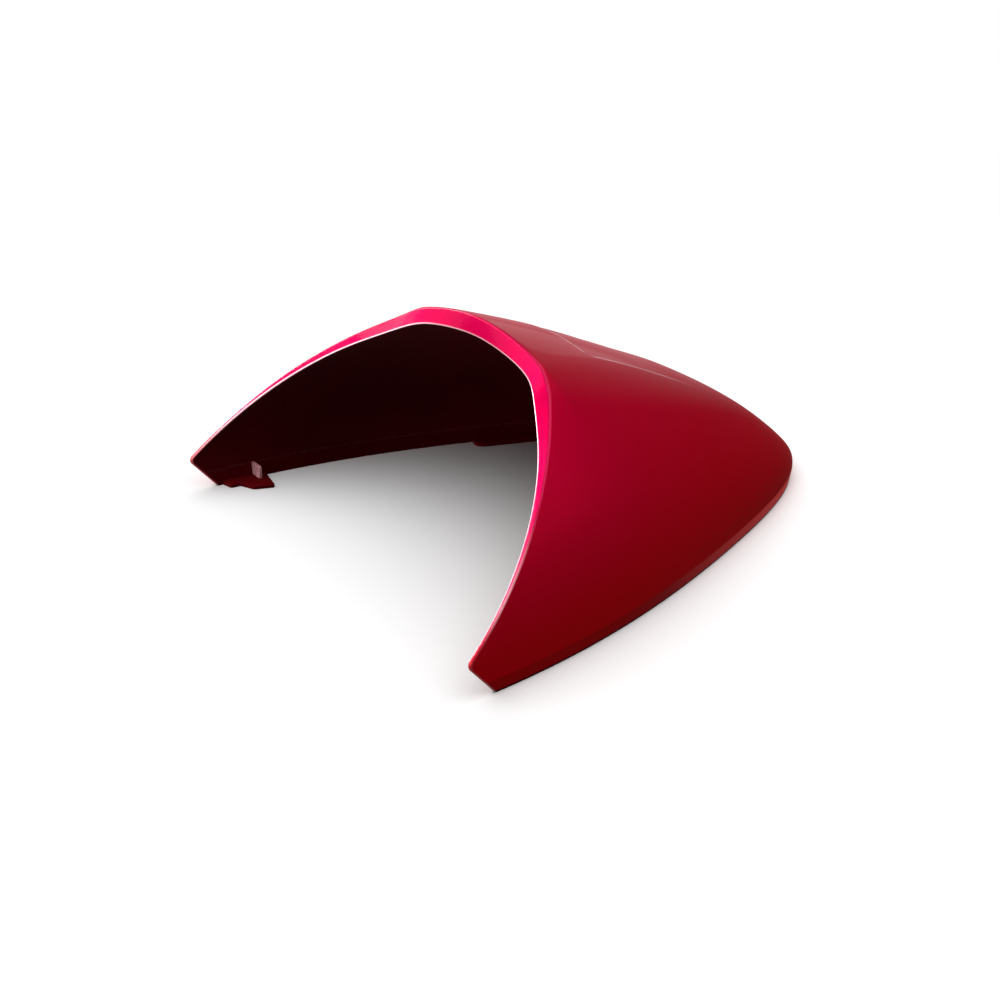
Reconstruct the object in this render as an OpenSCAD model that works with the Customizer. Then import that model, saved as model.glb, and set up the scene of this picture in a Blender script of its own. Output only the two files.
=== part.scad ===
// Seat cowl for a motorbike: one thin moulded shell that covers the back of the seat.
// It stands on its hem. The opening looks along -Y, the tail points along +Y.
// The origin is on the floor, halfway along and across.

/* [Overall] */
// Width over the two front legs, at the crease
cowl_w = 248.6; // [220:1:290]
// Length from the front of the legs to the tail
cowl_l = 274.5; // [240:1:320]
// Height of the roof at the rim
cowl_h = 108.1; // [96:1:124]
// Wall of the moulding
wall = 2; // [1.6:0.1:3]

/* [Plan outline] */
// Where the side starts to turn in, as a share of the length
side_turn = 0.515; // [0.4:0.01:0.6]
// How far out the side still is there, as a share of the half width
side_out = 0.963; // [0.9:0.01:1.1]
// Where the side runs to the tail, as a share of the length
flank_turn = 0.672; // [0.55:0.01:0.75]
// How far out the flank is held there, as a share of the half width
flank_out = 0.504; // [0.4:0.01:0.7]
// Bluntness of the tail, as a share of the half width
tail_blunt = 0.556; // [0.3:0.01:0.8]

/* [Roofline] */
// Angle at which the roof leaves the rim
roof_start_angle = 18.6; // [5:0.5:25]
// How long the roof holds that angle, as a share of its run
roof_start_hold = 0.196; // [0.1:0.01:0.4]
// Angle at which the roof meets the crease at the tail
roof_end_angle = 51.3; // [35:0.5:60]
// How long the roof holds that angle, as a share of its run
roof_end_hold = 0.338; // [0.2:0.01:0.4]

/* [Crease and hem] */
// Height of the crease that runs round the foot of the shell
crease_h = 7.1; // [5:0.1:12]
// How far the hem is tucked in below the crease
hem_tuck = 1.2; // [0.5:0.1:4]

/* [Shoulder] */
// How far the shoulder stands out of the round section
shoulder_out = 1.3; // [0:0.1:3]
// Section angle of the shoulder at the rim, from the crease up
shoulder_angle = 64.8; // [58:0.2:66]
// How much higher the shoulder is at the tail
shoulder_climb = 9.2; // [0:0.1:12]
// Section angle that the shoulder takes up on each side
shoulder_span = 22; // [12:1:24]

/* [Rim] */
// Lean of the rim from the floor, along the legs
rim_angle = 41.4; // [36:0.2:50]
// Height of the legs' front
leg_h = 16.4; // [14:0.2:22]
// Radius of the legs' front
leg_r = 3; // [2:0.5:6]
// Lean of the edge under the legs' front
leg_under_angle = 49.8; // [45:0.2:70]
// How far below the roof the rim starts to turn upright
rim_bend_drop = 16.6; // [8:0.2:18]
// Radius of that bend
rim_bend_r = 23.6; // [23:0.2:40]
// Width of the rim's flat face at the top
rim_face_top = 9; // [4:0.1:14]
// Width of the rim's flat face at the legs
rim_face_leg = 2.3; // [2.2:0.1:4]
// Thickness of the rim's return, front to back
rim_return_t = 2.5; // [1.6:0.1:4]

/* [Roof recess] */
// Width of the shallow recess on the roof
recess_w = 57.6; // [30:1:70]
// Distance from the legs' front to the recess
recess_start = 131.5; // [115:0.5:150]
// Distance from the legs' front to where the recess has run out
recess_end = 203; // [180:1:215]
// Length over which it runs out
recess_fade = 28; // [10:1:50]
// Depth of the recess
recess_depth = 1; // [0.4:0.1:1.5]
// Width of the step round it
recess_step = 1.2; // [0.8:0.1:3]
// Radius of its front corners
recess_r = 5; // [2:0.5:12]

/* [Front tabs] */
// Distance from the legs' front to a tab
tab_start = 15.5; // [13:0.5:30]
// Length of the low nub that starts a tab
nub_l = 6.5; // [4:0.5:10]
// How far the nub reaches in from the hem's outer edge
nub_reach = 8.5; // [5:0.5:12]
// Length of a tab along the hem, the nub included
tab_l = 20; // [16:0.5:32]
// How far a tab reaches in from the hem's outer edge at its back
tab_reach = 19; // [14:0.5:24]
// How much less it reaches at its front
tab_taper = 3; // [0:0.5:6]
// Slant of a tab's front and back edges
tab_slant = 3.5; // [0:0.5:6]
// Thickness of a tab
tab_t = 2; // [1.5:0.1:4]
// Radius of a tab's corners
tab_r = 1.5; // [0.5:0.1:3]
// Height of the rib that stands on a tab
rib_h = 8.5; // [6:0.5:16]
// How far the rib reaches in from the hem's outer edge
rib_reach = 9; // [6:0.5:14]
// Thickness of the rib
rib_t = 1.6; // [1.2:0.1:4]
// Distance from a tab's back corner to the rib
rib_back = 2.4; // [2:0.2:10]
// Radius of the rib's top corner
rib_r = 1.6; // [0.4:0.2:4]

/* [Tail lip] */
// Distance from the legs' front to the start of the lip
lip_start = 151.5; // [140:0.5:190]
// How far the lip reaches in from the hem's outer edge
lip_reach = 11; // [6:0.5:16]
// Thickness of the lip
lip_t = 2; // [1.5:0.1:4]
// Length over which the lip's front corner is rounded
lip_corner = 8; // [3:0.5:12]

/* [Hidden] */
paint = "#b00020";

half_w = cowl_w / 2;
front_y = -cowl_l / 2;
tail_y = cowl_l / 2;

// Steps of the surface: round the legs' front, on to the recess, recess to crown
leg_steps = 4;
side_steps = 15;
crown_steps = 4;
// Steps along it: rim to recess, recess to tail
front_steps = 13;
rear_steps = 26;
curve_steps = 160;
corner_steps = 6;

// A point of the Bezier curve with the control points p
function bezier(p, t) =
    len(p) == 1 ? p[0] : bezier([for (i = [0:len(p) - 2]) p[i] * (1 - t) + p[i + 1] * t], t);
function unit(v) = v / norm(v);
function clamp(v) = min(1, max(0, v));
function smooth(v) = let (c = clamp(v)) c * c * (3 - 2 * c);

// Rim, seen from the side: how far back it is at the height z
under_top_z = leg_h - leg_r * cos(leg_under_angle);
rim_foot_z = leg_h + leg_r * cos(rim_angle);
bend_z = cowl_h - rim_bend_drop;
bend_y = leg_r * (1 - sin(rim_angle)) + (bend_z - rim_foot_z) / tan(rim_angle);
function rim_y(z) = front_y + (
    z < under_top_z ? leg_r * (1 - sin(leg_under_angle)) + (under_top_z - z) / tan(leg_under_angle) :
    z < rim_foot_z ? leg_r - sqrt(leg_r ^ 2 - (z - leg_h) ^ 2) :
    z < bend_z ? leg_r * (1 - sin(rim_angle)) + (z - rim_foot_z) / tan(rim_angle) :
    let (below = max(0, bend_z + rim_bend_r * cos(rim_angle) - z))
        bend_y - rim_bend_r * sin(rim_angle) + sqrt(rim_bend_r ^ 2 - below ^ 2));

// Plan outline at the crease, from a leg's front to the tail
plan_table = let (p = [
        [half_w, front_y],
        [half_w * side_out, front_y + cowl_l * side_turn],
        [half_w * flank_out, front_y + cowl_l * flank_turn],
        [half_w * tail_blunt, tail_y],
        [0, tail_y]])
    [for (i = [0:curve_steps]) let (q = bezier(p, i / curve_steps)) [q.y, q.x]];
function half_width(y) = lookup(y, plan_table);

// Roofline, from the rim to the crease at the tail
crown_y = rim_y(cowl_h);
roof_table = let (run = tail_y - crown_y,
        p = [
            [crown_y, cowl_h],
            [crown_y, cowl_h] + run * roof_start_hold * [cos(roof_start_angle), -sin(roof_start_angle)],
            [tail_y, crease_h] + run * roof_end_hold * [-cos(roof_end_angle), sin(roof_end_angle)],
            [tail_y, crease_h]])
    [for (i = [0:curve_steps]) bezier(p, i / curve_steps)];
function roof_z(y) = lookup(y, roof_table);

// How far a shoulder stands out at the section angle a, fading towards the tail
function shoulder(a, y) =
    let (back = clamp((y - crown_y) / (tail_y - crown_y)),
        soft = 0.04 + 0.3 * back,
        off = (a - shoulder_angle - shoulder_climb * back) / shoulder_span,
        near = max(0, 1 - sqrt(off ^ 2 + soft ^ 2)) / (1 - soft))
    shoulder_out * (1 - back) * near ^ 2.5;

// Depth of the roof recess at a place
function recess(x, y) =
    let (in_x = abs(x) - recess_w / 2 + recess_r,
        in_y = front_y + recess_start + recess_r - y,
        edge = (in_x > 0 && in_y > 0 ? norm([in_x, in_y]) : max(in_x, in_y)) - recess_r,
        left = front_y + recess_end - y)
    recess_depth * clamp(-edge / recess_step) * smooth(left / recess_fade);

// Section angle of the row k. The row 0 is the crease, then rows follow the round front of
// the legs, the side, the two edges of the recess and the crown
leg_row = leg_steps + 1;
recess_row = leg_row + side_steps;
crown_row = recess_row + 1 + crown_steps;
widest_share = 0.5;
function leg_angle(k) =
    let (turn = leg_under_angle + (180 - rim_angle - leg_under_angle) * (k - 1) / leg_steps)
    asin((leg_h - leg_r * cos(turn) - crease_h) / (cowl_h - crease_h));
function edge_angle(x, y) = acos(min(x / max(half_width(y), x), widest_share * x / (recess_w / 2)));
function row_angle(k, y) =
    let (foot = leg_angle(leg_row),
        outer = edge_angle(recess_w / 2, y),
        inner = edge_angle(recess_w / 2 - recess_step, y))
    k == 0 ? 0 :
    k <= leg_row ? leg_angle(k) :
    k <= recess_row ? foot + (outer - foot) * (k - leg_row) / side_steps :
    inner + (90 - inner) * (k - recess_row - 1) / crown_steps;

// Outer skin on the row k at the length y
function skin(k, y) =
    let (a = row_angle(k, y),
        out = shoulder(a, y),
        x = (half_width(y) + out) * cos(a),
        z = crease_h + (roof_z(y) - crease_h + out) * sin(a))
    [x, y, z - recess(x, y)];

// The inner skin is the outer one drawn in by the wall
tail_wall = wall / sin(roof_end_angle);
crown_wall = wall / cos(roof_start_angle);
function drawn_in(p) = [
    p.x * (1 - wall / half_w),
    front_y + (p.y - front_y) * (1 - tail_wall / cowl_l),
    crease_h + (p.z - crease_h) * (1 - crown_wall / (cowl_h - crease_h))];

// The hem's outline on the floor, drawn in from the crease by the distance d
function hem(y, d) = [half_width(y) * (1 - d / half_w), front_y + (y - front_y) * (1 - d / cowl_l), 0];

// Length of the column j, from the start y0: first to the recess, then ever closer to the tail
columns = front_steps + 1 + rear_steps;
function column_y(j, y0) =
    let (start = front_y + recess_start)
    j <= front_steps ? y0 + (start - y0) * j / front_steps :
    let (past = start + recess_step)
        past + (tail_y - past) * sin(90 * (j - front_steps - 1) / rear_steps);

// One row, from the tail forward on the outside, round the rim and back inside
function body_row(k) =
    let (a = row_angle(k, crown_y),
        z0 = crease_h + (cowl_h - crease_h + shoulder(a, front_y)) * sin(a),
        y0 = rim_y(z0),
        rim = skin(k, y0),
        out = unit([(cowl_h - crease_h) * cos(a), half_w * sin(a)]),
        face = rim_face_leg + (rim_face_top - rim_face_leg) * sin(a) ^ 2.7,
        lip_x = rim.x - face * out.x,
        lip_z = rim.z - face * out.y,
        lip_y = rim_y(lip_z),
        root_z = drawn_in(rim).z,
        root_y = front_y + (rim_y(root_z) + rim_return_t - front_y) / (1 - tail_wall / cowl_l))
    concat(
        [[0, tail_y, crease_h]],
        [for (j = [columns - 1:-1:0]) skin(k, column_y(j, y0))],
        [[lip_x, lip_y, lip_z], [lip_x, lip_y + rim_return_t, lip_z]],
        [for (j = [0:columns - 1]) drawn_in(skin(k, column_y(j, root_y)))],
        [drawn_in([0, tail_y, crease_h])]);

function hem_row() =
    let (y0 = rim_y(0), rim = hem(y0, hem_tuck))
    concat(
        [for (j = [columns:-1:0]) hem(column_y(j, y0), hem_tuck)],
        [rim - [rim_face_leg, 0, 0], rim - [rim_face_leg, -rim_return_t, 0]],
        [for (j = [0:columns]) hem(column_y(j, y0 + rim_return_t), hem_tuck + wall)]);

function mirrored(row) = [for (p = row) [-p.x, p.y, p.z]];

module shell() {
    half = concat([hem_row()], [for (k = [0:crown_row]) body_row(k)]);
    top = len(half) - 1;
    rows = concat(half, [for (i = [top - 1:-1:0]) mirrored(half[i])]);
    n = len(rows[0]);
    pts = [for (r = rows) each r];
    strips = [for (i = [0:len(rows) - 2]) for (j = [0:n - 2]) let (a = i * n + j)
        each [[a, a + 1, a + n], [a + 1, a + n + 1, a + n]]];
    // The hem's flat foot, one strip on each side
    last = (len(rows) - 1) * n;
    feet = [for (s = [0, 1]) for (j = [0:n / 2 - 2])
        let (a = s * last + j, b = s * last + n - 1 - j)
        each (s == 0 ? [[a, b, a + 1], [a + 1, b, b - 1]] : [[a, a + 1, b], [a + 1, b - 1, b]])];
    faces = [for (f = concat(strips, feet))
        if (pts[f[0]] != pts[f[1]] && pts[f[1]] != pts[f[2]] && pts[f[2]] != pts[f[0]]) f];
    polyhedron(pts, faces, convexity = 6);
}

// The corner b between a and c, rounded off over the distance r each way
function rounded(a, b, c, r) =
    [for (i = [0:corner_steps]) bezier([b + r * unit(a - b), b, b + r * unit(c - b)], i / corner_steps)];

// A tab on the hem behind a leg's front, with the rib that stands on it
module front_tab() {
    y0 = front_y + tab_start;
    y1 = y0 + tab_l;
    rib_y = y1 - rib_back;
    function inward(y, d) = [hem(y, hem_tuck).x - d, y];
    nub_front = inward(y0 + tab_r, nub_reach);
    nub_back = inward(y0 + nub_l, nub_reach);
    front = inward(y0 + nub_l + tab_slant, tab_reach - tab_taper);
    back = inward(y1, tab_reach);
    root = inward(y1 + tab_slant, wall / 2);
    linear_extrude(tab_t)
        polygon(concat(
            [inward(y0, wall / 2)],
            rounded(inward(y0, wall / 2), nub_front, nub_back, tab_r),
            [nub_back],
            rounded(nub_back, front, back, tab_r),
            rounded(front, back, root, tab_r),
            [root]));

    foot = [inward(rib_y, wall / 2).x, 0];
    wall_top = [half_width(rib_y) - wall / 2, rib_h];
    tip = [foot.x + wall / 2 - rib_reach, rib_h];
    translate([0, rib_y + rib_t / 2, 0])
        rotate([90, 0, 0])
            linear_extrude(rib_t)
                polygon(concat(
                    [foot, [wall_top.x, crease_h], wall_top],
                    rounded(wall_top, tip, [tip.x, 0], rib_r),
                    [[tip.x, 0]]));
}

// A flat lip that follows the hem round the tail
module tail_lip() {
    y0 = front_y + lip_start;
    function reach(y) =
        let (past = 1 - clamp((y - y0) / lip_corner)) wall + (lip_reach - wall) * sqrt(1 - past ^ 2);
    y1 = y0 + lip_corner;
    ys = concat(
        [for (i = [0:corner_steps]) y0 + lip_corner * (1 - cos(90 * i / corner_steps))],
        [for (j = [1:rear_steps]) y1 + (tail_y - y1) * sin(90 * j / rear_steps)]);
    outer = [for (y = ys) hem(y, hem_tuck + wall / 2)];
    inner = [for (y = ys) hem(y, hem_tuck + reach(y))];
    function flat(list, side) = [for (p = list) [side * p.x, p.y]];
    function back(list) = [for (i = [len(list) - 1:-1:0]) list[i]];
    linear_extrude(lip_t)
        polygon(concat(
            flat(outer, 1),
            flat(back(outer), -1),
            flat(inner, -1),
            flat(back(inner), 1)));
}

module seat_cowl() {
    color(paint) {
        shell();
        front_tab();
        mirror([1, 0, 0]) front_tab();
        tail_lip();
    }
}

seat_cowl();
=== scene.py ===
import math

import bmesh
import bpy
import numpy as np
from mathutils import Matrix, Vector


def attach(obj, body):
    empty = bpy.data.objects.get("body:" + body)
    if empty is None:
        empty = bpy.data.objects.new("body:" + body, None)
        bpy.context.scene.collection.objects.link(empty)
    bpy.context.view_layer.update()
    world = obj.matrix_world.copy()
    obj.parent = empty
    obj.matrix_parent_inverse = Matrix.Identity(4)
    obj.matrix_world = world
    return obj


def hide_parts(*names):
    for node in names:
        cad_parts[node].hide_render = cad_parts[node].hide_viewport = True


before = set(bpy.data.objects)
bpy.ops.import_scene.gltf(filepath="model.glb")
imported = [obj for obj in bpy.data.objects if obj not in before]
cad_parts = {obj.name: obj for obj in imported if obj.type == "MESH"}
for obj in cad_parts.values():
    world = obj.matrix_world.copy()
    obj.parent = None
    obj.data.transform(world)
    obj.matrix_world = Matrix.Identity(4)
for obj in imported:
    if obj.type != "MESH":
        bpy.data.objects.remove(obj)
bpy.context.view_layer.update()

# Sizes in millimetres, in the frame of the part: the legs' front looks along -Y, +Z is up.
MM = 0.001
COWL_W, COWL_L, COWL_H = 248.6, 274.5, 108.1
WALL = 2.0
# Handles of the plan outline: the turns are shares of the length, the rest are shares of half the width.
SIDE_TURN, SIDE_OUT = 0.515, 0.963
FLANK_TURN, FLANK_OUT = 0.672, 0.504
TAIL_BLUNT = 0.556
# Angles at which the roofline leaves the crown and meets the tail. The holds are shares of its run.
ROOF_START_ANGLE, ROOF_START_HOLD = 18.6, 0.196
ROOF_END_ANGLE, ROOF_END_HOLD = 51.3, 0.338
CREASE_H, HEM_TUCK = 7.1, 1.2
# The shoulder's place in the section is an angle, and it climbs towards the tail. Its crest is sharp at the
# crown, softens on the way back, and falls off to both sides over its span.
SHOULDER_OUT, SHOULDER_ANGLE, SHOULDER_CLIMB, SHOULDER_SPAN = 1.3, 64.8, 9.2, 22.0
SHOULDER_CREST, SHOULDER_SOFTEN, SHOULDER_FALL = 0.04, 0.3, 2.5
RIM_ANGLE, LEG_H, LEG_R, LEG_UNDER_ANGLE = 41.4, 16.4, 3.0, 49.8
RIM_BEND_DROP, RIM_BEND_R = 16.6, 23.6
RIM_FACE_TOP, RIM_FACE_LEG, RIM_FACE_RISE, RIM_RETURN_T = 9.0, 2.3, 2.7, 2.5
RECESS_W, RECESS_START, RECESS_END, RECESS_FADE = 57.6, 131.5, 203.0, 28.0
RECESS_DEPTH, RECESS_STEP, RECESS_R = 1.0, 1.2, 5.0
TAB_START, NUB_L, NUB_REACH, TAB_L, TAB_REACH = 15.5, 6.5, 8.5, 20.0, 19.0
TAB_TAPER, TAB_SLANT, TAB_T, TAB_R = 3.0, 3.5, 2.0, 1.5
RIB_H, RIB_FOOT_Z, RIB_REACH, RIB_T, RIB_BACK, RIB_R = 8.5, 0.5, 9.0, 1.6, 2.4, 1.6
LIP_START, LIP_REACH, LIP_T, LIP_CORNER = 151.5, 11.0, 2.0, 8.0

# Radii that a mould and a coat of lacquer leave on the edges. The rim's take a share of its face at most.
RIM_EDGE_R, RIM_EDGE_SHARE = 1.1, 0.45
RIM_HEEL_R = 0.5
HEM_EDGE_R = 0.6
CREASE_EDGE_R = 0.9
TRIM_EDGE_R = 0.35
# The rim's inner edge passes the shoulder with a softer crest than the skin has.
LIP_CREST = 0.35
# Beside the crown the level skin runs into the falling roof over this length. The angles are the
# section's: the easing is full below the first one and ends at the second, where the crown begins.
EASE_L, EASE_FULL_ANGLE, EASE_END_ANGLE = 50.0, 45.0, 65.0

# How much clear coat lies on each place, from 0 to 1. The rim's inner edge has 1, and so has its outer
# edge low on the legs.
SIDE_COAT, ROOF_COAT, HEM_COAT, RIM_FACE_COAT, CROWN_EDGE_COAT = 0.03, 0.22, 0.12, 0.05, 0.25
# How strong the pale painted highlight is, from 0 to 1, on the outer edge of a leg and on the inner edge at
# the foot. Higher up the inner edge has 1.
LEG_EDGE_HIGHLIGHT, FOOT_HIGHLIGHT = 0.45, 0.1
# Where the lacquer changes: nothing of it at the first value, all of it at the second. First by height,
LOW_ON_LEG_Z, PINK_TINT_Z, INNER_HIGHLIGHT_Z, LEG_HIGHLIGHT_Z = (62, 32), (12, 42), (10, 45), (22, 38)
# then along Y on the roof, on the front half of the hem and on its back half,
ROOF_COAT_Y, HEM_FRONT_Y, HEM_BACK_Y = (120, 30), (-60, 50), (125, 75)
# and last by the share of the roof's height at the same length.
ROOF_COAT_SHARE = (0.78, 0.96)

HALF_W = COWL_W / 2
FRONT_Y, TAIL_Y = -COWL_L / 2, COWL_L / 2
BODY_H = COWL_H - CREASE_H


# Colours and nodes.

def srgb(code):
    """Linear colour with alpha from a hex code such as #b00020."""
    parts = [int(code[i:i + 2], 16) / 255 for i in (1, 3, 5)]
    return [c / 12.92 if c <= 0.04045 else ((c + 0.055) / 1.055) ** 2.4 for c in parts] + [1.0]


def add(tree, kind, links=None, **settings):
    """Adds a node. A link's value is a socket to connect, a tuple of sockets to join, or a value to set."""
    node = tree.nodes.new(kind)
    for name, value in settings.items():
        setattr(node, name, value)
    for key, value in (links or {}).items():
        sources = value if isinstance(value, tuple) else (value,)
        if isinstance(sources[0], bpy.types.NodeSocket):
            for source in sources:
                tree.links.new(source, node.inputs[key])
        else:
            node.inputs[key].default_value = value
    return node


# The rule of the shape: a plan outline, a roofline and a round section between them.

def bezier(points, t):
    points = [np.asarray(p, float) for p in points]
    t = np.asarray(t, float)[..., None]
    while len(points) > 1:
        points = [a * (1 - t) + b * t for a, b in zip(points, points[1:])]
    return points[0]


def smooth(v):
    c = np.clip(v, 0, 1)
    return c * c * (3 - 2 * c)


def between(v, none, full):
    """0 where v is at none or past it, 1 at full, and a smooth passage between them."""
    return smooth((v - none) / (full - none))


CURVE_T = np.linspace(0, 1, 1201)
plan_curve = bezier([
    (HALF_W, FRONT_Y),
    (HALF_W * SIDE_OUT, FRONT_Y + COWL_L * SIDE_TURN),
    (HALF_W * FLANK_OUT, FRONT_Y + COWL_L * FLANK_TURN),
    (HALF_W * TAIL_BLUNT, TAIL_Y),
    (0, TAIL_Y)], CURVE_T)


def half_width(y):
    return np.interp(y, plan_curve[:, 1], plan_curve[:, 0])


SIN_RIM, COS_RIM, TAN_RIM = (f(math.radians(RIM_ANGLE)) for f in (math.sin, math.cos, math.tan))
SIN_UNDER, COS_UNDER, TAN_UNDER = (f(math.radians(LEG_UNDER_ANGLE)) for f in (math.sin, math.cos, math.tan))
UNDER_TOP_Z = LEG_H - LEG_R * COS_UNDER
RIM_FOOT_Z = LEG_H + LEG_R * COS_RIM
BEND_Z = COWL_H - RIM_BEND_DROP
BEND_Y = LEG_R * (1 - SIN_RIM) + (BEND_Z - RIM_FOOT_Z) / TAN_RIM


def rim_y(z):
    """How far back the rim is at the height z, seen from the side."""
    z = np.asarray(z, float)
    under = LEG_R * (1 - SIN_UNDER) + (UNDER_TOP_Z - z) / TAN_UNDER
    nose = LEG_R - np.sqrt(np.maximum(LEG_R ** 2 - (z - LEG_H) ** 2, 0))
    leg = LEG_R * (1 - SIN_RIM) + (z - RIM_FOOT_Z) / TAN_RIM
    below = np.maximum(0, BEND_Z + RIM_BEND_R * COS_RIM - z)
    bend = BEND_Y - RIM_BEND_R * SIN_RIM + np.sqrt(np.maximum(RIM_BEND_R ** 2 - below ** 2, 0))
    return FRONT_Y + np.select([z < UNDER_TOP_Z, z < RIM_FOOT_Z, z < BEND_Z], [under, nose, leg], bend)


CROWN_Y = float(rim_y(COWL_H))
ROOF_RUN = TAIL_Y - CROWN_Y
roof_a, roof_b = math.radians(ROOF_START_ANGLE), math.radians(ROOF_END_ANGLE)
START_HOLD, END_HOLD = ROOF_RUN * ROOF_START_HOLD, ROOF_RUN * ROOF_END_HOLD
roof_curve = bezier([
    (CROWN_Y, COWL_H),
    (CROWN_Y + START_HOLD * math.cos(roof_a), COWL_H - START_HOLD * math.sin(roof_a)),
    (TAIL_Y - END_HOLD * math.cos(roof_b), CREASE_H + END_HOLD * math.sin(roof_b)),
    (TAIL_Y, CREASE_H)], CURVE_T)


def roof_z(y):
    return np.interp(y, roof_curve[:, 0], roof_curve[:, 1])


def shoulder(a, y, crest=SHOULDER_CREST):
    """How far a shoulder stands out at the section angle a, in degrees. A small crest makes it sharp."""
    back = np.clip((y - CROWN_Y) / ROOF_RUN, 0, 1)
    soft = crest + SHOULDER_SOFTEN * back
    off = (a - SHOULDER_ANGLE - SHOULDER_CLIMB * back) / SHOULDER_SPAN
    near = np.maximum(0, 1 - np.sqrt(off ** 2 + soft ** 2)) / (1 - soft)
    return SHOULDER_OUT * (1 - back) * near ** SHOULDER_FALL


def eased(a, y):
    """How far the skin sinks beside the crown: a parabola that rounds the corner of the roofline off."""
    near = np.clip(1 - np.abs(y - CROWN_Y) / (EASE_L / 2), 0, 1)
    deepest = EASE_L * math.tan(roof_a) / 8
    return between(a, EASE_END_ANGLE, EASE_FULL_ANGLE) * near ** 2 * deepest


def from_recess(x, y):
    """Distance from the outline of the recess on the roof, negative inside it."""
    in_x = np.abs(x) - RECESS_W / 2 + RECESS_R
    in_y = FRONT_Y + RECESS_START + RECESS_R - y
    round_corner = (in_x > 0) & (in_y > 0)
    return np.where(round_corner, np.hypot(in_x, in_y), np.maximum(in_x, in_y)) - RECESS_R


def recess_left(y):
    """How much of the recess is left at the length y: it fades out towards the tail."""
    return smooth((FRONT_Y + RECESS_END - y) / RECESS_FADE)


def recess(x, y):
    return RECESS_DEPTH * smooth(-from_recess(x, y) / RECESS_STEP) * recess_left(y)


def skin(a, y):
    """Outer skin at the section angle a, in degrees, and the length y."""
    r = np.radians(a)
    out = shoulder(a, y)
    x = (half_width(y) + out) * np.cos(r)
    z = CREASE_H + (roof_z(y) - CREASE_H + out - eased(a, y)) * np.sin(r)
    return np.stack([x, y + 0 * x, z - recess(x, y)], -1)


TAIL_WALL = WALL / math.sin(roof_b)
CROWN_WALL = WALL / math.cos(roof_a)


def drawn_in(p):
    """The inner skin: the outer one drawn in by the wall."""
    return np.stack([
        p[..., 0] * (1 - WALL / HALF_W),
        FRONT_Y + (p[..., 1] - FRONT_Y) * (1 - TAIL_WALL / COWL_L),
        CREASE_H + (p[..., 2] - CREASE_H) * (1 - CROWN_WALL / BODY_H)], -1)


def hem(y, d):
    """The hem's outline on the floor, drawn in from the crease by the distance d."""
    y = np.asarray(y, float)
    x = half_width(y) * (1 - d / HALF_W)
    return np.stack([x, FRONT_Y + (y - FRONT_Y) * (1 - d / COWL_L), 0 * y], -1)


# How the surface is divided. Rows run from the tail to the rim, and columns cross them.

LEG_STEPS, SIDE_STEPS, STEP_STEPS, CROWN_STEPS = 12, 60, 4, 8
FRONT_STEPS, REAR_STEPS, EDGE_STEPS = 44, 64, 5
# A narrow band beside the recess, over which its edge gathers clear coat.
BAND, BAND_STEPS = 1.6, 2
OUTER_COLUMNS = FRONT_STEPS + BAND_STEPS + STEP_STEPS + REAR_STEPS + 1
# The columns on which the rim's outer edge starts, and on which its inner edge starts.
RIM_COLUMN, LIP_COLUMN = OUTER_COLUMNS - 1, OUTER_COLUMNS + EDGE_STEPS - 1
# A rounded edge hides the columns that are nearer than this many times its size.
HIDDEN_BY_EDGE = 1.3
# Points nearer than this, in metres, become one. The weight keeps the large faces flat beside the edges.
WELD_WITHIN, FLAT_WEIGHT = 2e-6, 80


def leg_angle(share):
    turn = math.radians(LEG_UNDER_ANGLE + (180 - RIM_ANGLE - LEG_UNDER_ANGLE) * share)
    return math.degrees(math.asin((LEG_H - LEG_R * math.cos(turn) - CREASE_H) / BODY_H))


def edge_angle(x, y):
    """Section angle at which the skin is x from the middle, for the edges of the recess."""
    wide = np.maximum(half_width(y), x)
    return np.degrees(np.arccos(np.minimum(x / wide, x / RECESS_W)))


def steps(start, end, count):
    """Even steps from start to end, without the start itself."""
    return start + (end - start) * np.linspace(0, 1, count + 1)[1:]


def row_angles(y):
    """Section angles of all rows at the lengths y: one row of angles for each length."""
    y = np.asarray(y, float)[:, None]
    leg = [leg_angle(i / LEG_STEPS) for i in range(LEG_STEPS + 1)]
    beside = edge_angle(RECESS_W / 2 + BAND, y)
    outer = edge_angle(RECESS_W / 2, y)
    inner = edge_angle(RECESS_W / 2 - RECESS_STEP, y)
    return np.concatenate([
        np.tile(leg, (len(y), 1)), steps(leg[-1], beside, SIDE_STEPS), steps(beside, outer, BAND_STEPS),
        steps(outer, inner, STEP_STEPS), steps(inner, 90, CROWN_STEPS)], 1).T


def column_lengths(y0):
    """Lengths of the columns on a row that starts at y0: to the recess, then to the tail."""
    recess_y = FRONT_Y + RECESS_START
    floor_y = recess_y + RECESS_STEP
    return np.concatenate([
        [y0], steps(y0, recess_y - BAND, FRONT_STEPS), steps(recess_y - BAND, recess_y, BAND_STEPS),
        steps(recess_y, floor_y, STEP_STEPS),
        floor_y + (TAIL_Y - floor_y) * np.sin(steps(0, math.pi / 2, REAR_STEPS))])


def unit(v):
    return v / np.maximum(np.linalg.norm(v, axis=-1, keepdims=True), 1e-9)


def rounded(a, b, c, r):
    """The corner b between a and c rounded off over the distance r: a list of point arrays."""
    start, end = b + r * unit(a - b), b + r * unit(c - b)
    return [start * (1 - t) ** 2 + 2 * b * t * (1 - t) + end * t ** 2 for t in np.linspace(0, 1, EDGE_STEPS)]


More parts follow.
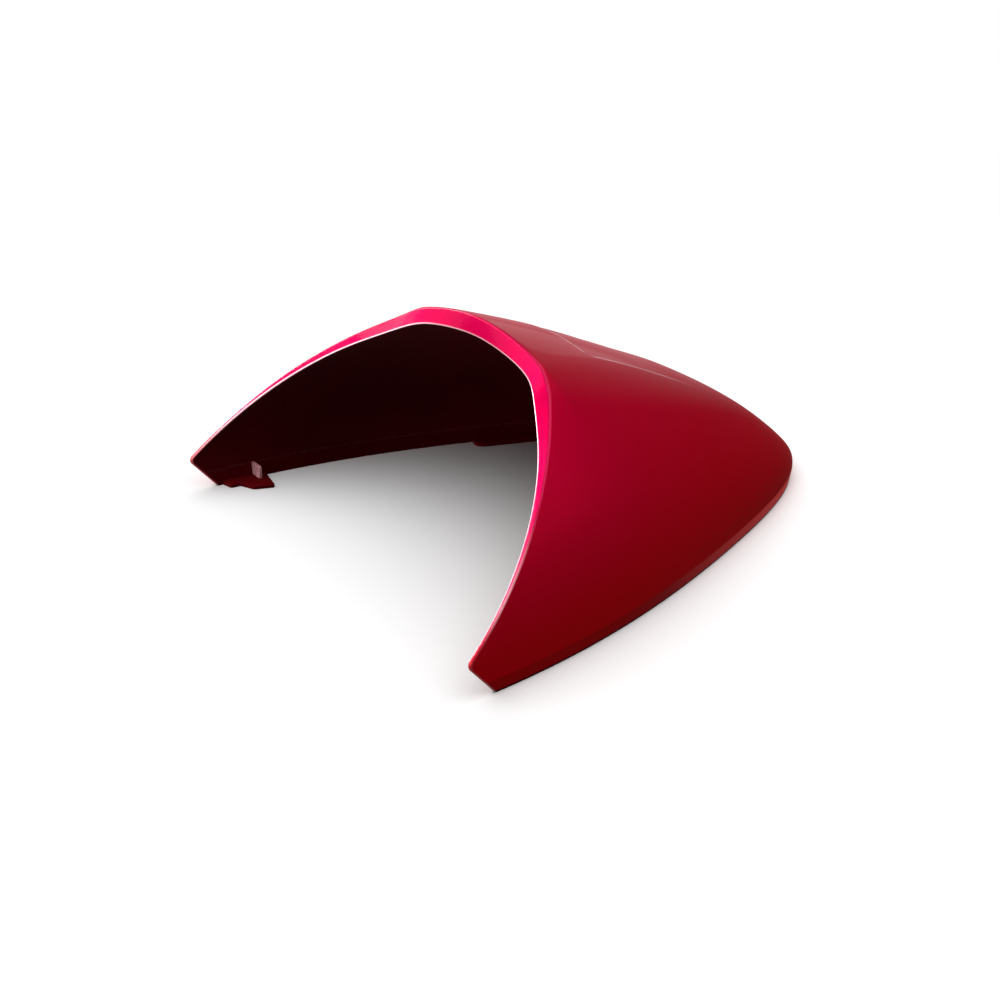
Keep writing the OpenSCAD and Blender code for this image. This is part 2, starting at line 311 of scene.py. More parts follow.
def full_row(outer, inner, rim, lip, heel, edge):
    """A row from the tail to the rim on the outside, round the rim's edges, and back on the inside."""
    keep = np.linalg.norm(outer - rim, axis=1) > edge * HIDDEN_BY_EDGE
    keep[0] = False
    # The hidden columns gather between the start of the rounded edge and the next column, so that all rows
    # keep their count.
    start = rim + edge * unit(outer[keep][0] - rim)
    outer[~keep] = start + (outer[keep][0] - start) * np.linspace(0, 0.5, (~keep).sum())[:, None]
    return np.concatenate([
        outer[::-1],
        rounded(outer[keep][0], rim, lip, edge)[1:],
        rounded(rim, lip, heel, edge),
        rounded(lip, heel, inner[2], RIM_HEEL_R),
        inner])


def low_row(outer, inner):
    """A row of the leg's end, where the rim's face is narrowest."""
    rim = outer[0].copy()
    lip, heel = rim - [RIM_FACE_LEG, 0, 0], rim - [RIM_FACE_LEG, -RIM_RETURN_T, 0]
    return full_row(outer, inner, rim, lip, heel, RIM_FACE_LEG * RIM_EDGE_SHARE)


def body_row(k, y0, inwards, face):
    """The row of number k, whose rim is at the length y0. Its lip lies inwards by the width of the face."""
    a = row_angles([y0])[k, 0]
    rim = skin(a, y0)
    calm = shoulder(a, y0, LIP_CREST) - shoulder(a, y0)
    lip = rim - face * np.array([inwards[0], 0, inwards[1]])
    lip += calm * np.array([math.cos(math.radians(a)), 0, math.sin(math.radians(a))])
    lip[1] = rim_y(lip[2])
    heel = lip + [0, RIM_RETURN_T, 0]
    root_y = FRONT_Y + (rim_y(drawn_in(rim)[2]) + RIM_RETURN_T - FRONT_Y) / (1 - TAIL_WALL / COWL_L)
    y_out, y_in = column_lengths(y0), column_lengths(root_y)
    outer = skin(row_angles(y_out)[k], y_out)
    inner = drawn_in(skin(row_angles(y_in)[k], y_in))
    return full_row(outer, inner, rim, lip, heel, min(RIM_EDGE_R, face * RIM_EDGE_SHARE))


def body_rows():
    """The rows from the leg to the crown."""
    at_crown = row_angles([CROWN_Y])[:, 0]
    r = np.radians(at_crown)
    y0 = rim_y(CREASE_H + (BODY_H + shoulder(at_crown, FRONT_Y)) * np.sin(r))
    inwards = unit(np.stack([BODY_H * np.cos(r), HALF_W * np.sin(r)], -1))
    face = RIM_FACE_LEG + (RIM_FACE_TOP - RIM_FACE_LEG) * np.sin(r) ** RIM_FACE_RISE
    return [body_row(k, y0[k], inwards[k], face[k]) for k in range(len(at_crown))]


def foot_row():
    """The hem's foot: the same points as a body row, flat on the floor."""
    y0 = float(rim_y(0))
    outer = hem(column_lengths(y0), HEM_TUCK)
    inner = hem(column_lengths(y0 + RIM_RETURN_T), HEM_TUCK + WALL)
    return low_row(outer, inner)


def crease_row():
    """The crease, where the section of the body starts above the hem."""
    y0 = float(rim_y(CREASE_H))
    outer = skin(0.0, column_lengths(y0))
    inner = drawn_in(skin(0.0, column_lengths(y0 + RIM_RETURN_T)))
    return low_row(outer, inner)


def shell_rows():
    """All rows of the shell, from the foot of one leg over the roof to the foot of the other."""
    body, foot, crease = body_rows(), foot_row(), crease_row()
    lower = rounded(foot[::-1], foot, crease, HEM_EDGE_R)
    upper = rounded(foot, crease, body[0], CREASE_EDGE_R)
    half = lower + upper + body[1:]
    return np.array(half + [row * [-1, 1, 1] for row in half[-2::-1]])


def shell_faces(rows):
    """The faces between the rows and under the two feet, and which of them belong to the inside."""
    count, width = rows.shape[:2]
    index = np.arange(count * width).reshape(count, width)
    faces, inside = [], []
    for i in range(count - 1):
        for j in range(width - 1):
            faces.append((index[i, j], index[i, j + 1], index[i + 1, j + 1], index[i + 1, j]))
            inside.append(j >= LIP_COLUMN + EDGE_STEPS - 1)
    for i, turned in ((0, True), (count - 1, False)):
        for j in range(width // 2 - 1):
            ring = (index[i, j], index[i, j + 1], index[i, width - 2 - j], index[i, width - 1 - j])
            faces.append(ring[::-1] if turned else ring)
            inside.append(False)
    return faces, inside


def lacquer_measures(rows):
    """Three measures of the lacquer at each point of the rows: the first is how much clear coat lies there,
    the second is 1 where the red is painted pinker as a painted reflection, and the third is 1 where an edge
    carries a pale painted highlight."""
    x, y, z = rows[..., 0], rows[..., 1], rows[..., 2]
    column = np.arange(rows.shape[1])
    on_outer_edge = (column > RIM_COLUMN) & (column < LIP_COLUMN - 1)
    on_inner_edge = (column > LIP_COLUMN) & (column < LIP_COLUMN + EDGE_STEPS - 1)
    on_roof = (column < OUTER_COLUMNS) & (z > CREASE_H)
    on_hem = (column < OUTER_COLUMNS) & (z < CREASE_H)
    on_leg = between(z, *LOW_ON_LEG_Z)

    edge_coat = CROWN_EDGE_COAT + (1 - CROWN_EDGE_COAT) * on_leg
    # The coat is thicker on the upper part of each section, and runs out towards the tail.
    share = (z - CREASE_H) / np.maximum(roof_z(y) - CREASE_H, 1)
    on_top = between(share, *ROOF_COAT_SHARE) * between(y, *ROOF_COAT_Y)
    roof_coat = SIDE_COAT + (ROOF_COAT - SIDE_COAT) * on_top
    off = from_recess(x, y)
    recess_coat = np.where(off > 0, 1 - off / BAND, 1 + off / RECESS_STEP) * recess_left(y)
    in_middle = between(y, *HEM_FRONT_Y) * between(y, *HEM_BACK_Y)
    hem_coat = SIDE_COAT + (HEM_COAT - SIDE_COAT) * in_middle
    coat = np.select([on_inner_edge, on_outer_edge, on_roof, on_hem],
                     [1.0, edge_coat, np.maximum(recess_coat, roof_coat), hem_coat], RIM_FACE_COAT)

    # Painted reflection: the rim's face and outer edge are painted pinker from 12 mm up, fully at 42 mm.
    thin = ((column > RIM_COLUMN) & (column <= LIP_COLUMN)) * between(z, *PINK_TINT_Z)
    # Painted highlight: a pale line on the rim's inner edge, weak at the foot, and on the legs' outer edges.
    polished = on_inner_edge * (FOOT_HIGHLIGHT + (1 - FOOT_HIGHLIGHT) * between(z, *INNER_HIGHLIGHT_Z))
    polished = polished + on_outer_edge * LEG_EDGE_HIGHLIGHT * on_leg * between(z, *LEG_HIGHLIGHT_Z)
    return {"coat": coat.ravel(), "thin": thin.ravel(), "polished": polished.ravel()}


def make_object(name, points, faces, materials):
    mesh = bpy.data.meshes.new(name)
    mesh.from_pydata([tuple(p * MM) for p in points], [], faces)
    for material in materials:
        mesh.materials.append(material)
    piece = bpy.data.objects.new(name, mesh)
    bpy.context.scene.collection.objects.link(piece)
    return piece


def weld(piece, distance):
    """Closes the seams and the pole, turns the faces outwards and shades them smoothly."""
    bm = bmesh.new()
    bm.from_mesh(piece.data)
    bmesh.ops.remove_doubles(bm, verts=bm.verts, dist=distance)
    bmesh.ops.dissolve_degenerate(bm, edges=bm.edges, dist=distance / 10)
    bmesh.ops.recalc_face_normals(bm, faces=bm.faces)
    for face in bm.faces:
        face.smooth = True
    bm.to_mesh(piece.data)
    bm.free()


def cowl_shell(outside, within):
    """The shell, with one material on the outside and the rim, and one on the inside."""
    rows = shell_rows()
    faces, inside = shell_faces(rows)
    shell = make_object("seat_cowl_shell", rows.reshape(-1, 3), faces, [outside, within])
    shell.data.polygons.foreach_set("material_index", [int(i) for i in inside])
    for name, values in lacquer_measures(rows).items():
        shell.data.attributes.new(name, "FLOAT", "POINT").data.foreach_set("value", values)
    weld(shell, WELD_WITHIN)
    flat = shell.modifiers.new("flat_faces_stay_flat", "WEIGHTED_NORMAL")
    flat.weight = FLAT_WEIGHT
    return shell


# The tail lip and the front tabs: flat mouldings that follow the hem.

LIP_CORNER_STEPS, LIP_SIDE_STEPS, LIP_STEPS, LIP_STEPS_ACROSS = 12, 60, 161, 4
# Faces higher above the tab than this belong to the rib.
RIB_CLEAR = 0.1
MERGE_WITHIN = 1e-5
SHARP_ANGLE = math.radians(40)


def rail(name, points, closed=False):
    """A guide curve through points, for a tree to follow."""
    curve = bpy.data.curves.new(name, "CURVE")
    curve.dimensions = "3D"
    spline = curve.splines.new("POLY")
    spline.points.add(len(points) - 1)
    for target, point in zip(spline.points, points):
        target.co = (*(np.asarray(point) * MM), 1)
    spline.use_cyclic_u = closed
    guide = bpy.data.objects.new(name, curve)
    bpy.context.scene.collection.objects.link(guide)
    return guide


def new_tree(name, inputs):
    """A geometry tree with the named inputs. Returns it with the sockets that hold what it is given."""
    tree = bpy.data.node_groups.new(name, "GeometryNodeTree")
    for label, kind in inputs.items():
        tree.interface.new_socket(label, in_out="INPUT", socket_type=kind)
    tree.interface.new_socket("Geometry", in_out="OUTPUT", socket_type="NodeSocketGeometry")
    return tree, add(tree, "NodeGroupInput").outputs


def grow(name, tree, values):
    """Runs a tree on an empty object, with a value for each input, and keeps its result as a plain mesh."""
    seed = bpy.data.objects.new(name + "_seed", bpy.data.meshes.new(name + "_seed"))
    bpy.context.scene.collection.objects.link(seed)
    modifier = seed.modifiers.new("grow", "NODES")
    modifier.node_group = tree
    for entry in tree.interface.items_tree:
        if entry.in_out == "INPUT":
            modifier[entry.identifier] = values[entry.name]
    seed.update_tag()
    bpy.context.view_layer.update()
    ready = seed.evaluated_get(bpy.context.evaluated_depsgraph_get())
    mesh = bpy.data.meshes.new_from_object(ready)
    mesh.name = name
    piece = bpy.data.objects.new(name, mesh)
    bpy.context.scene.collection.objects.link(piece)
    bpy.data.objects.remove(seed)
    return piece


def thickened(tree, flat, thickness):
    """A closed solid from flat faces: raised by the thickness, with the same faces turned over below."""
    up = add(tree, "ShaderNodeCombineXYZ", {"Z": thickness}).outputs[0]
    top = add(tree, "GeometryNodeExtrudeMesh", {
        "Mesh": flat, "Offset": up, "Offset Scale": 1.0, "Individual": False}).outputs["Mesh"]
    under = add(tree, "GeometryNodeFlipFaces", {"Mesh": flat}).outputs[0]
    both = add(tree, "GeometryNodeJoinGeometry", {"Geometry": (top, under)}).outputs[0]
    return add(tree, "GeometryNodeMergeByDistance", {"Geometry": both, "Distance": MERGE_WITHIN}).outputs[0]


def ledge_tree():
    """A flat ledge between two rails: a strip laid across them, then given its thickness."""
    tree, given = new_tree("ledge_between_rails", {
        "Outer rail": "NodeSocketObject", "Inner rail": "NodeSocketObject", "Steps along": "NodeSocketInt",
        "Thickness": "NodeSocketFloat", "Material": "NodeSocketMaterial"})
    grid = add(tree, "GeometryNodeMeshGrid", {
        "Size X": 1.0, "Size Y": 1.0, "Vertices X": given["Steps along"],
        "Vertices Y": LIP_STEPS_ACROSS}).outputs["Mesh"]
    place = add(tree, "ShaderNodeSeparateXYZ", {0: add(tree, "GeometryNodeInputPosition").outputs[0]})
    along = add(tree, "ShaderNodeMath", {0: place.outputs["X"], 1: 0.5}, operation="ADD").outputs[0]
    across = add(tree, "ShaderNodeMath", {0: place.outputs["Y"], 1: 0.5}, operation="ADD").outputs[0]
    sides = []
    for rail_name in ("Outer rail", "Inner rail"):
        guide = add(tree, "GeometryNodeObjectInfo", {"Object": given[rail_name]}).outputs["Geometry"]
        sampled = add(tree, "GeometryNodeSampleCurve", {"Curves": guide, "Factor": along})
        sides.append(sampled.outputs["Position"])
    spot = add(tree, "ShaderNodeMix", {"Factor": across, 4: sides[0], 5: sides[1]},
               data_type="VECTOR").outputs[1]
    strip = add(tree, "GeometryNodeSetPosition", {"Geometry": grid, "Position": spot}).outputs[0]
    solid = thickened(tree, strip, given["Thickness"])
    real = add(tree, "GeometryNodeRealizeInstances", {"Geometry": solid}).outputs[0]
    painted = add(tree, "GeometryNodeSetMaterial", {"Geometry": real, "Material": given["Material"]})
    add(tree, "NodeGroupOutput", {0: painted.outputs[0]})
    return tree


def tab_pair_tree():
    """A tab cut from its outline with its rib standing on it, and the same mirrored on the other leg."""
    tree, given = new_tree("tab_pair", {
        "Tab outline": "NodeSocketObject", "Rib outline": "NodeSocketObject",
        "Tab thickness": "NodeSocketFloat", "Rib thickness": "NodeSocketFloat",
        "Rib place": "NodeSocketFloat", "Rib above": "NodeSocketFloat",
        "Tab material": "NodeSocketMaterial", "Rib material": "NodeSocketMaterial"})
    plate, rib = [], []
    for part, solids in (("Tab", plate), ("Rib", rib)):
        guide = add(tree, "GeometryNodeObjectInfo", {"Object": given[part + " outline"]}).outputs["Geometry"]
        flat = add(tree, "GeometryNodeFillCurve", {"Curve": guide}, mode="NGONS").outputs[0]
        solids.append(thickened(tree, flat, given[part + " thickness"]))
    # The rib's outline is drawn lying down: turned up, its height runs along +Z.
    shift = add(tree, "ShaderNodeCombineXYZ", {"Y": given["Rib place"]}).outputs[0]
    upright = add(tree, "GeometryNodeTransform", {
        "Geometry": rib[0], "Translation": shift, "Rotation": (math.pi / 2, 0, 0)}).outputs[0]
    tab = add(tree, "GeometryNodeJoinGeometry", {"Geometry": (plate[0], upright)}).outputs[0]
    other = add(tree, "GeometryNodeTransform", {"Geometry": tab, "Scale": (-1, 1, 1)}).outputs[0]
    turned = add(tree, "GeometryNodeFlipFaces", {"Mesh": other}).outputs[0]
    pair = add(tree, "GeometryNodeJoinGeometry", {"Geometry": (tab, turned)}).outputs[0]
    place = add(tree, "ShaderNodeSeparateXYZ", {0: add(tree, "GeometryNodeInputPosition").outputs[0]})
    on_rib = add(tree, "ShaderNodeMath", {0: place.outputs["Z"], 1: given["Rib above"]},
                 operation="GREATER_THAN").outputs[0]
    real = add(tree, "GeometryNodeRealizeInstances", {"Geometry": pair}).outputs[0]
    plates_painted = add(tree, "GeometryNodeSetMaterial", {
        "Geometry": real, "Material": given["Tab material"]}).outputs[0]
    ribs_painted = add(tree, "GeometryNodeSetMaterial", {
        "Geometry": plates_painted, "Selection": on_rib, "Material": given["Rib material"]}).outputs[0]
    add(tree, "NodeGroupOutput", {0: ribs_painted})
    return tree


def soften(piece, radius):
    """Rounds the sharp edges as the mould and the lacquer do."""
    bevel = piece.modifiers.new("softened_edges", "BEVEL")
    bevel.width = radius * MM
    bevel.segments = 3
    bevel.limit_method = "ANGLE"
    bevel.angle_limit = SHARP_ANGLE
    for polygon in piece.data.polygons:
        polygon.use_smooth = True
    piece.data.set_sharp_from_angle(angle=SHARP_ANGLE)


def tail_lip(paint):
    """The lip inside the tail, at the foot. Both its ends are rounded, and it runs from side to side."""
    y0 = FRONT_Y + LIP_START
    rest = y0 + LIP_CORNER
    quarter = np.linspace(0, math.pi / 2, LIP_CORNER_STEPS)
    ys = np.concatenate([y0 + LIP_CORNER * (1 - np.cos(quarter)),
                         rest + (TAIL_Y - rest) * np.sin(np.linspace(0, math.pi / 2, LIP_SIDE_STEPS))[1:]])
    past = 1 - np.clip((ys - y0) / LIP_CORNER, 0, 1)
    reach = WALL + (LIP_REACH - WALL) * np.sqrt(1 - past ** 2)
    outer = hem(ys, HEM_TUCK + WALL / 2)
    inner = np.stack([hem(y, HEM_TUCK + r) for y, r in zip(ys, reach)])
    outer_rail, inner_rail = (
        rail(name, np.concatenate([side, side[-2::-1] * [-1, 1, 1]]))
        for name, side in (("lip_outer_rail", outer), ("lip_inner_rail", inner)))
    return grow("tail_lip", ledge_tree(), {
        "Outer rail": outer_rail, "Inner rail": inner_rail, "Steps along": LIP_STEPS,
        "Thickness": LIP_T * MM, "Material": paint})


def tab_outline():
    """Outline of a tab seen from above: a nub, then the wider tab, both standing inwards from the hem."""
    y0 = FRONT_Y + TAB_START
    y1 = y0 + TAB_L

    def inward(y, d):
        return [hem(y, HEM_TUCK)[0] - d, y, 0]

    start, nub_front, nub_back, front, back, root = (np.array(p, float) for p in (
        inward(y0, WALL / 2),
        inward(y0 + TAB_R, NUB_REACH),
        inward(y0 + NUB_L, NUB_REACH),
        inward(y0 + NUB_L + TAB_SLANT, TAB_REACH - TAB_TAPER),
        inward(y1, TAB_REACH),
        inward(y1 + TAB_SLANT, WALL / 2)))
    return [start, *rounded(start, nub_front, nub_back, TAB_R), nub_back,
            *rounded(nub_back, front, back, TAB_R), *rounded(front, back, root, TAB_R), root]


def rib_outline(rib_y):
    """Outline of the rib at the length rib_y, seen from the front: it stands on the tab against the wall."""
    foot_x = hem(rib_y, HEM_TUCK)[0] - WALL / 2
    wall_x = float(half_width(rib_y)) - WALL / 2
    tip_x = foot_x + WALL / 2 - RIB_REACH
    foot, crease, top, tip, toe = (np.array([x, z, 0]) for x, z in (
        (foot_x, RIB_FOOT_Z), (wall_x, CREASE_H), (wall_x, RIB_H), (tip_x, RIB_H), (tip_x, RIB_FOOT_Z)))
    return [foot, crease, top, *rounded(top, tip, toe, RIB_R), toe]


def front_tabs(plate_paint, rib_paint):
    rib_y = FRONT_Y + TAB_START + TAB_L - RIB_BACK
    return grow("front_tabs", tab_pair_tree(), {
        "Tab outline": rail("tab_outline", tab_outline(), True),
        "Rib outline": rail("rib_outline", rib_outline(rib_y), True),
        "Tab thickness": TAB_T * MM, "Rib thickness": RIB_T * MM, "Rib place": (rib_y + RIB_T / 2) * MM,
        "Rib above": (TAB_T + RIB_CLEAR) * MM, "Tab material": plate_paint, "Rib material": rib_paint})


# Materials. Lengths on their sockets are in metres, and each pattern's scale is one over its real size.

def new_material(name):
    material = bpy.data.materials.new(name)
    material.use_nodes = True
    material.node_tree.nodes.clear()
    return material, material.node_tree


def candy_red_lacquer():
    """Candy lacquer, sprayed on moulded ABS: a clear red glaze over a fine metallic base, under a satin coat.
    It flares up hot red where it faces a light, falls to deep crimson elsewhere, and pales at a grazing look.
    Painted shade, painted highlights and a painted reflection tint are also laid into its colour."""
    material, tree = new_material("candy_red_lacquer")
    place = add(tree, "ShaderNodeTexCoord").outputs["Object"]
    axes = add(tree, "ShaderNodeSeparateXYZ", {0: place}).outputs
    # Painted light and shade by height: the red is darker and purer at the foot, lighter and pinker at the
    # top.
    shade_by_height = add(tree, "ShaderNodeMapRange", {"Value": axes["Z"], "From Min": 0.015, "From Max": 0.090})
    # The glaze is sprayed by hand, so its tone also wanders a little at random over 60 mm.
    wander = add(tree, "ShaderNodeTexNoise", {"Vector": place, "Scale": 1 / 0.060, "Detail": 2.0})
    shade_and_tone = add(tree, "ShaderNodeMath", {0: wander.outputs["Fac"], 1: 0.3, 2: shade_by_height.outputs["Result"]},
                operation="MULTIPLY_ADD", use_clamp=True)
    side = add(tree, "ShaderNodeMix", {"Factor": shade_and_tone.outputs[0], 6: srgb("#940006"), 7: srgb("#a20027")},
               data_type="RGBA")
    # Painted light and shade on the hem: a darker red at the front, where less light reaches it, and a bright
    # warm red round the back, a painted highlight.
    to_back = add(tree, "ShaderNodeMapRange", {"Value": axes["Y"], "From Min": -0.02, "From Max": 0.10})
    hem_painted_light = add(tree, "ShaderNodeMix", {
        "Factor": to_back.outputs["Result"], 6: srgb("#860006"), 7: srgb("#e01016")}, data_type="RGBA")
    on_hem = add(tree, "ShaderNodeMapRange", {
        "Value": axes["Z"], "From Min": (CREASE_H + 0.5) * MM, "From Max": (CREASE_H - 0.5) * MM})
    body = add(tree, "ShaderNodeMix", {
        "Factor": on_hem.outputs["Result"], 6: side.outputs[2], 7: hem_painted_light.outputs[2]}, data_type="RGBA")
    # Painted contact shadow: below 1.6 mm above the floor the red darkens, to near black at 0.7 mm.
    painted_contact_shadow = add(tree, "ShaderNodeMapRange", {"Value": axes["Z"], "From Min": 0.0016, "From Max": 0.0007})
    foot = add(tree, "ShaderNodeMix", {
        "Factor": painted_contact_shadow.outputs["Result"], 6: body.outputs[2], 7: srgb("#1e0204")}, data_type="RGBA")
    # Painted reflection: the rim's face and outer edge turn a pinker red, for the pink tone the lit face
    # takes.
    thin = add(tree, "ShaderNodeAttribute", attribute_name="thin")
    rim = add(tree, "ShaderNodeMix", {
        "Factor": thin.outputs["Fac"], 6: foot.outputs[2], 7: srgb("#970036")}, data_type="RGBA")
    # Painted highlight: the rim's inner edge and the legs' outer edges are painted pale pink, as lines of
    # light.
    polished = add(tree, "ShaderNodeAttribute", attribute_name="polished")
    glaze = add(tree, "ShaderNodeMix", {
        "Factor": polished.outputs["Fac"], 6: rim.outputs[2], 7: srgb("#e8b0b8")}, data_type="RGBA")
    # Flakes of the base, drawn at 0.3 mm where real ones are 0.03 mm.
    flake = add(tree, "ShaderNodeTexVoronoi", {"Vector": place, "Scale": 1 / 0.0003})
    flake_rough = add(tree, "ShaderNodeMapRange", {
        "Value": flake.outputs["Distance"], "To Min": 0.33, "To Max": 0.39})
    # Orange peel of the clear coat, 3 mm across.
    peel = add(tree, "ShaderNodeTexNoise", {"Vector": place, "Scale": 1 / 0.003, "Detail": 1.0})
    peel_bump = add(tree, "ShaderNodeBump", {
        "Height": peel.outputs["Fac"], "Strength": 0.05, "Distance": 0.0002})
    # Clear coat lies thin on the sides and thicker on the roof. It gathers on edges, as a pale line.
    coat = add(tree, "ShaderNodeAttribute", attribute_name="coat")
    surface = add(tree, "ShaderNodeBsdfPrincipled", {
        "Base Color": glaze.outputs[2], "Metallic": 0.39, "Roughness": flake_rough.outputs["Result"],
        "Specular IOR Level": 0.0, "Specular Tint": srgb("#a00028"), "Coat Weight": coat.outputs["Fac"],
        "Coat Roughness": 0.09, "Coat IOR": 1.3, "Coat Normal": peel_bump.outputs["Normal"]})
    add(tree, "ShaderNodeOutputMaterial", {"Surface": surface.outputs["BSDF"]})
    return material


def dark_overspray_and_shade():
    """Black ABS that only the mist of the red glaze has reached: matt, almost black, a dull red where light
    falls. Its darkness is partly the ABS's own and partly painted shade, for the shade inside the shell."""
    material, tree = new_material("dark_overspray_and_painted_shade")
    place = add(tree, "ShaderNodeTexCoord").outputs["Object"]
    height = add(tree, "ShaderNodeSeparateXYZ", {0: place}).outputs["Z"]
    # Mist settles in soft clouds, 25 mm across.
    cloud = add(tree, "ShaderNodeTexNoise", {"Vector": place, "Scale": 1 / 0.025, "Detail": 3.0})
    mist = add(tree, "ShaderNodeMix", {
        "Factor": cloud.outputs["Fac"], 6: srgb("#45090f"), 7: srgb("#660b13")}, data_type="RGBA")
    # It lies more evenly on the hem, below the crease.
    on_hem = add(tree, "ShaderNodeMapRange", {
        "Value": height, "From Min": (CREASE_H + 1) * MM, "From Max": (CREASE_H - 1) * MM})
    red = add(tree, "ShaderNodeMix", {
        "Factor": on_hem.outputs["Result"], 6: mist.outputs[2], 7: srgb("#52050a")}, data_type="RGBA")
    # Painted glints along the corner of the crease: paler specks of 0.6 mm in a line 1.6 mm wide.
    off = add(tree, "ShaderNodeMath", {0: height, 1: (CREASE_H + 1.2) * MM}, operation="SUBTRACT")
    far = add(tree, "ShaderNodeMath", {0: off.outputs[0]}, operation="ABSOLUTE")
    in_corner = add(tree, "ShaderNodeMapRange", {
        "Value": far.outputs[0], "From Min": 0.0008, "From Max": 0.0004})
    speck = add(tree, "ShaderNodeTexNoise", {"Vector": place, "Scale": 1 / 0.0006, "Detail": 1.0})
    bright = add(tree, "ShaderNodeMapRange", {
        "Value": speck.outputs["Fac"], "From Min": 0.48, "From Max": 0.62})
    crease_glints = add(tree, "ShaderNodeMath", {0: in_corner.outputs["Result"], 1: bright.outputs["Result"]},
               operation="MULTIPLY")
    colour = add(tree, "ShaderNodeMix", {
        "Factor": crease_glints.outputs[0], 6: red.outputs[2], 7: srgb("#743438")}, data_type="RGBA")
    # Dry spray leaves a grain of 0.5 mm.
    grain = add(tree, "ShaderNodeTexNoise", {"Vector": place, "Scale": 1 / 0.0005, "Detail": 1.0})
    grain_bump = add(tree, "ShaderNodeBump", {
        "Height": grain.outputs["Fac"], "Strength": 0.2, "Distance": 0.0001})
    surface = add(tree, "ShaderNodeBsdfPrincipled", {
        "Base Color": colour.outputs[2], "Roughness": 0.55, "Specular IOR Level": 0.01,
        "Normal": grain_bump.outputs["Normal"]})
    add(tree, "ShaderNodeOutputMaterial", {"Surface": surface.outputs["BSDF"]})
    return material


def pale_rib():
    """Satin lacquer painted a pale, dusty pink with redder marks: the pale pink is a painted reflection of
    the light the rib's face mirrors.
    """
    material, tree = new_material("rib_with_painted_reflection")
    place = add(tree, "ShaderNodeTexCoord").outputs["Object"]
    # Redder mottling about 1.5 mm long.
    mottle = add(tree, "ShaderNodeTexNoise", {"Vector": place, "Scale": 1 / 0.0015, "Detail": 3.0})
    redder = add(tree, "ShaderNodeMapRange", {
        "Value": mottle.outputs["Fac"], "From Min": 0.35, "From Max": 0.75})
    colour = add(tree, "ShaderNodeMix", {
        "Factor": redder.outputs["Result"], 6: srgb("#d8a4aa"), 7: srgb("#a85660")}, data_type="RGBA")
    surface = add(tree, "ShaderNodeBsdfPrincipled", {
        "Base Color": colour.outputs[2], "Roughness": 0.35, "Specular IOR Level": 0.4})
    add(tree, "ShaderNodeOutputMaterial", {"Surface": surface.outputs["BSDF"]})
    return material


def background_rays(tree):
    """1 for the rays that see the white background: from the camera, and mirrored or let through by a
    surface."""
    path = add(tree, "ShaderNodeLightPath").outputs
    seen = add(tree, "ShaderNodeMath", {0: path["Is Camera Ray"], 1: path["Is Glossy Ray"]},
               operation="MAXIMUM").outputs[0]
    return add(tree, "ShaderNodeMath", {0: seen, 1: path["Is Transmission Ray"]},
               operation="MAXIMUM").outputs[0]


def studio_floor():
    """Matt white paper, which keeps the shadow and runs into plain white from 0.25 m outwards. It throws back
    only a little light on the object."""
    material, tree = new_material("white_paper_floor")
    path = add(tree, "ShaderNodeLightPath").outputs
    place = add(tree, "ShaderNodeTexCoord").outputs["Object"]
    far = add(tree, "ShaderNodeVectorMath", {0: place}, operation="LENGTH").outputs["Value"]
    fade = add(tree, "ShaderNodeMapRange", {"Value": far, "From Min": 0.25, "From Max": 0.8})
    mirrored = add(tree, "ShaderNodeMath", {0: path["Is Glossy Ray"], 1: path["Is Transmission Ray"]},
                   operation="MAXIMUM")
    plain = add(tree, "ShaderNodeMath", {0: fade.outputs["Result"], 1: mirrored.outputs[0]},
                operation="MAXIMUM")
    matt = add(tree, "ShaderNodeBsdfDiffuse", {"Color": srgb("#fafafa")})
    lit = add(tree, "ShaderNodeEmission", {"Color": srgb("#ffffff"), "Strength": 1.0})
    seen = add(tree, "ShaderNodeMixShader", {0: plain.outputs[0], 1: matt.outputs[0], 2: lit.outputs[0]})
    bounce = add(tree, "ShaderNodeBsdfDiffuse", {"Color": srgb("#404040")})
    both = add(tree, "ShaderNodeMixShader", {
        0: background_rays(tree), 1: bounce.outputs[0], 2: seen.outputs[0]})
    add(tree, "ShaderNodeOutputMaterial", {"Surface": both.outputs[0]})
    return material


# Camera, light and floor, in metres, degrees and watts.

CAMERA_PLACE = (0.59903, -0.46242, 0.36320)
CAMERA_DOWN, CAMERA_TURN = 25.390, 54.468
CAMERA_LENS, CAMERA_SENSOR = 61.2, 36.0
FLOOR_REACH = 4.0


def set_camera():
    data = bpy.data.cameras.new("camera")
    data.sensor_width = CAMERA_SENSOR
    data.lens = CAMERA_LENS
    data.clip_end = 50
    camera = bpy.data.objects.new("camera", data)
    camera.location = CAMERA_PLACE
    camera.rotation_euler = (math.radians(90 - CAMERA_DOWN), 0, math.radians(CAMERA_TURN))
    bpy.context.scene.collection.objects.link(camera)
    bpy.context.scene.camera = camera


def set_world():
    """White where it is seen or mirrored, and almost no light from all round."""
    world = bpy.data.worlds.new("studio")
    bpy.context.scene.world = world
    world.use_nodes = True
    tree = world.node_tree
    tree.nodes.clear()
    dim = add(tree, "ShaderNodeBackground", {"Color": srgb("#ffffff"), "Strength": 0.02})
    white = add(tree, "ShaderNodeBackground", {"Color": srgb("#ffffff"), "Strength": 1.0})
    both = add(tree, "ShaderNodeMixShader", {
        0: background_rays(tree), 1: dim.outputs[0], 2: white.outputs[0]})
    add(tree, "ShaderNodeOutputWorld", {"Surface": both.outputs[0]})


def set_floor():
    reach = FLOOR_REACH / MM
    corners = np.array([(-reach, -reach, 0), (reach, -reach, 0), (reach, reach, 0), (-reach, reach, 0)])
    floor = make_object("floor", corners, [(0, 1, 2, 3)], [studio_floor()])
    return floor


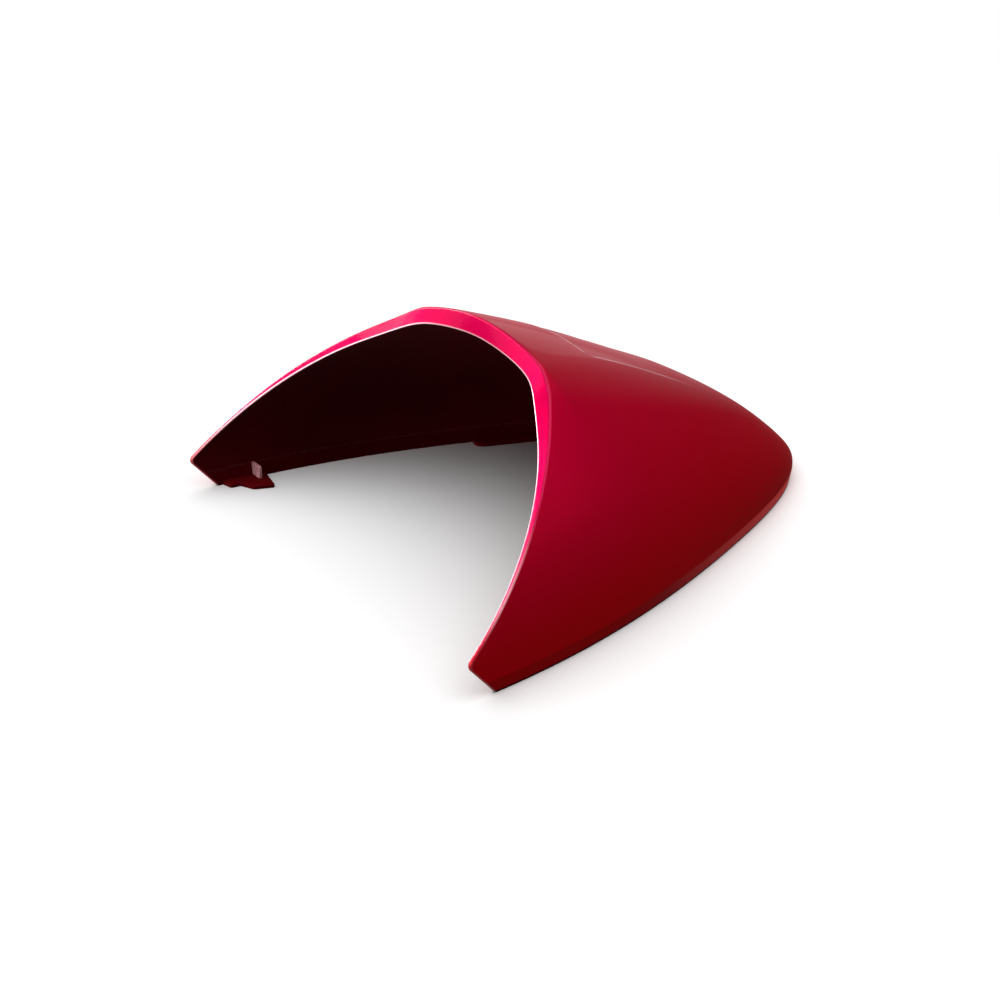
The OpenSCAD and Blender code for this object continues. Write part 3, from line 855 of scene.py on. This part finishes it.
def softbox(name, place, target, size, power, lit):
    """A soft panel that lights only what is in the collection lit, and throws its shadows there."""
    data = bpy.data.lights.new(name, "AREA")
    data.shape = "RECTANGLE"
    data.size, data.size_y = size
    data.energy = power
    lamp = bpy.data.objects.new(name, data)
    lamp.visible_camera = False
    lamp.location = place
    lamp.rotation_euler = (Vector(target) - Vector(place)).to_track_quat("-Z", "Y").to_euler()
    lamp.light_linking.receiver_collection = lit
    bpy.context.scene.collection.objects.link(lamp)


def set_lights(on_floor, on_cowl):
    """One even wash draws the shadow on the floor. The panels light the cowl alone: a large one from above,
    one before the crown, and two at the left that the rim's slanted face mirrors to the camera."""
    foot, middle = (0, 0, 0), (0, 0, 0.05)
    softbox("wash_on_floor", (0.0, 0.0, 1.2), foot, (3.0, 3.0), 49, on_floor)
    softbox("softbox_above", (0.0, 0.1, 1.2), foot, (1.2, 1.2), 13, on_cowl)
    softbox("softbox_front", (-0.55, -1.05, 0.5), middle, (1.5, 0.9), 25, on_cowl)
    softbox("softbox_left", (-1.0, -0.35, 0.42), middle, (0.5, 0.35), 9.5, on_cowl)
    softbox("spot_left", (-0.98, -0.33, 0.62), middle, (0.2, 0.22), 4.5, on_cowl)
    softbox("softbox_right", (0.9, 0.55, 0.9), middle, (1.2, 0.9), 3.0, on_cowl)
    softbox("softbox_behind", (-0.95, 0.75, 0.22), middle, (0.6, 0.35), 0.5, on_cowl)


bpy.context.scene.view_settings.view_transform = "Standard"
on_cowl = bpy.data.collections.new("lit_cowl")
on_floor = bpy.data.collections.new("lit_floor")
set_camera()
set_world()
on_floor.objects.link(set_floor())
set_lights(on_floor, on_cowl)

overspray_and_shade = dark_overspray_and_shade()
shell = cowl_shell(candy_red_lacquer(), overspray_and_shade)
lip = tail_lip(overspray_and_shade)
tabs = front_tabs(overspray_and_shade, pale_rib())
for guide in [o for o in bpy.data.objects if o.type == "CURVE"]:
    bpy.data.objects.remove(guide)
soften(lip, TRIM_EDGE_R)
soften(tabs, TRIM_EDGE_R)

for piece in (shell, lip, tabs):
    on_cowl.objects.link(piece)
    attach(piece, "root")
    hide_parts("seat_cowl")
